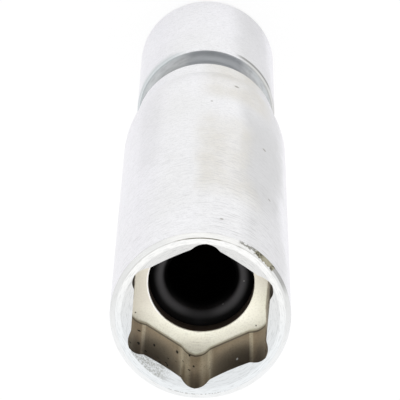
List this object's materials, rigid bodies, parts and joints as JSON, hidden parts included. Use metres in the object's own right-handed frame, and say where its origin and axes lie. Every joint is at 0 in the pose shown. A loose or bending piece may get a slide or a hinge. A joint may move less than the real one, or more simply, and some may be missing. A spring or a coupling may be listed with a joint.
{
  "type": "spark plug socket",
  "caption": "Long round socket with a relieved hexagon mouth for spark plugs, a rubber grip sleeve inside, a turned groove and a square drive hole.",
  "frame": {"origin": "centre of the drive end's face, which the socket stands on", "axes": "+Z along the socket's axis, from the drive end to the mouth; a corner of the hexagon points along +Y and along -Y, and the sides of the square hole lie along X and Y"},
  "size_m": [0.0214, 0.0214, 0.09],
  "materials": {
    "satin_plated_steel": "pale satin plating over turned steel",
    "black_rubber": "black moulded rubber with a soft sheen"
  },
  "bodies": {
    "root": {"socket_body": "satin_plated_steel", "rubber_insert": "black_rubber"}
  },
  "joints": []
}
